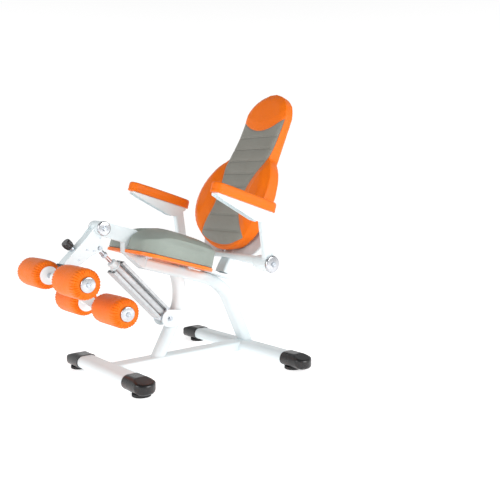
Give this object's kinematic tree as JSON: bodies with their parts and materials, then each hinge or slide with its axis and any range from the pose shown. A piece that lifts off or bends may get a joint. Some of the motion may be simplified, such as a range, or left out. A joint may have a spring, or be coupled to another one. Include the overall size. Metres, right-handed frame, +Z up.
{
  "type": "seated leg curl and leg extension machine",
  "caption": "Seated leg extension and leg curl chair with padded ankle rollers on a swinging lever, a hydraulic resistance cylinder and lift-up arm rests.",
  "frame": {"origin": "on the floor, at the centre of the whole footprint box", "axes": "+Z up; the user faces -X; +Y is the sitting user's right-hand side and -Y the left"},
  "size_m": [1.2146, 0.888, 1.2238],
  "materials": {
    "white_paint": "smooth powder coat",
    "foot_plastic": "glossy moulded",
    "foot_rubber": "matt",
    "grey_vinyl": "fine grain vinyl",
    "orange_vinyl": "smooth grain vinyl",
    "orange_board": "moulded board with an orange edge",
    "shell_plastic": "light grey moulded",
    "zinc_steel": "zinc plated",
    "chrome_cap": "polished",
    "chrome_rod": "hard chrome, ground",
    "silver_aluminium": "extruded, anodised",
    "bronze_bush": "sintered bronze",
    "white_plastic": "moulded",
    "black_plastic": "moulded",
    "knob_plastic": "moulded",
    "spring_steel": "drawn wire"
  },
  "bodies": {
    "frame": {"base_spine": "white_paint", "front_cross_tube": "white_paint", "rear_cross_tube": "white_paint", "foot_end_caps": "foot_plastic", "foot_pads": "foot_rubber", "seat_rail_tube": "white_paint", "front_post": "white_paint", "pivot_arm": "white_paint", "pivot_axle": "zinc_steel", "cylinder_bracket_plates": "white_paint", "cylinder_pivot_bolt": "zinc_steel", "seat_board": "orange_board", "seat_cushion": "grey_vinyl", "seat_brackets": "zinc_steel", "seat_bolts": "zinc_steel", "backrest_cushion": "orange_vinyl", "backrest_shell": "shell_plastic", "backrest_upright": "white_paint", "arm_cross_tube": "white_paint", "arm_bushes": "bronze_bush"},
    "lever": {"lever_side_plates": "white_paint", "lever_outer_tube": "white_paint", "lever_hub_bushes": "bronze_bush", "lever_hub_caps": "chrome_cap", "lever_collar": "black_plastic", "lever_rod_pin": "zinc_steel", "lever_plate_screws": "zinc_steel", "lock_barrel": "zinc_steel"},
    "lock": {"lock_pin": "zinc_steel", "lock_knob": "knob_plastic", "lock_spring": "spring_steel"},
    "carriage": {"carriage_inner_tube": "zinc_steel", "roller_crossbar": "white_paint", "upper_roller_axle": "zinc_steel", "lower_roller_axle": "zinc_steel"},
    "cylinder": {"cylinder_profile": "silver_aluminium", "cylinder_gland": "white_paint", "cylinder_base_eye": "zinc_steel"},
    "rod": {"piston_rod": "chrome_rod", "piston": "zinc_steel", "rod_jam_nut": "zinc_steel", "rod_end": "zinc_steel"},
    "left_arm": {"left_arm_frame": "white_paint", "left_arm_pad": "orange_vinyl", "left_arm_hub_cap": "chrome_cap"},
    "right_arm": {"right_arm_frame": "white_paint", "right_arm_pad": "orange_vinyl", "right_arm_hub_cap": "chrome_cap"},
    "roller_upper_left": {"roller_core_upper_left": "white_plastic", "roller_pad_upper_left": "orange_vinyl", "roller_cap_upper_left": "chrome_cap"},
    "roller_upper_right": {"roller_core_upper_right": "white_plastic", "roller_pad_upper_right": "orange_vinyl", "roller_cap_upper_right": "chrome_cap"},
    "roller_lower_left": {"roller_core_lower_left": "white_plastic", "roller_pad_lower_left": "orange_vinyl", "roller_cap_lower_left": "chrome_cap"},
    "roller_lower_right": {"roller_core_lower_right": "white_plastic", "roller_pad_lower_right": "orange_vinyl", "roller_cap_lower_right": "chrome_cap"}
  },
  "joints": [
    {"name": "leg_lever_swing", "type": "hinge", "parent": "frame", "child": "lever", "pos_m": [-0.36565, 0, 0.625], "axis": [0, 1, 0], "range_deg": [-25, 35]},
    {"name": "roller_carriage_slide", "type": "slide", "parent": "lever", "child": "carriage", "axis": [-0.7193, 0, -0.6947], "range_m": [0, 0.06]},
    {"name": "lock_knob_pull", "type": "slide", "parent": "lever", "child": "lock", "axis": [-0.6947, 0, 0.7193], "range_m": [0, 0.01], "stiffness_N_per_m": 1500, "springref_m": -0.008},
    {"name": "upper_left_roller_spin", "type": "hinge", "parent": "carriage", "child": "roller_upper_left", "pos_m": [-0.54985, -0.1635, 0.44434], "axis": [0, 1, 0], "continuous": true},
    {"name": "upper_right_roller_spin", "type": "hinge", "parent": "carriage", "child": "roller_upper_right", "pos_m": [-0.54985, 0.1635, 0.44434], "axis": [0, 1, 0], "continuous": true},
    {"name": "lower_left_roller_spin", "type": "hinge", "parent": "carriage", "child": "roller_lower_left", "pos_m": [-0.39361, -0.1635, 0.31997], "axis": [0, 1, 0], "continuous": true},
    {"name": "lower_right_roller_spin", "type": "hinge", "parent": "carriage", "child": "roller_lower_right", "pos_m": [-0.39361, 0.1635, 0.31997], "axis": [0, 1, 0], "continuous": true},
    {"name": "cylinder_swing", "type": "hinge", "parent": "frame", "child": "cylinder", "pos_m": [-0.06065, 0, 0.226], "axis": [0, 1, 0], "range_deg": [-3.2, 2.4]},
    {"name": "piston_rod_slide", "type": "slide", "parent": "cylinder", "child": "rod", "axis": [-0.7027, 0, 0.7115], "range_m": [-0.03, 0.041]},
    {"name": "left_arm_lift", "type": "hinge", "parent": "frame", "child": "left_arm", "pos_m": [0.25335, -0.316, 0.463], "axis": [0, 1, 0], "range_deg": [0, 80]},
    {"name": "right_arm_lift", "type": "hinge", "parent": "frame", "child": "right_arm", "pos_m": [0.25335, 0.316, 0.463], "axis": [0, 1, 0], "range_deg": [0, 80]}
  ],
  "couplings": [
    {"joint": "cylinder_swing", "follows": "leg_lever_swing", "ratio": -0.08352},
    {"joint": "piston_rod_slide", "follows": "leg_lever_swing", "m_per_rad": 0.06452}
  ]
}
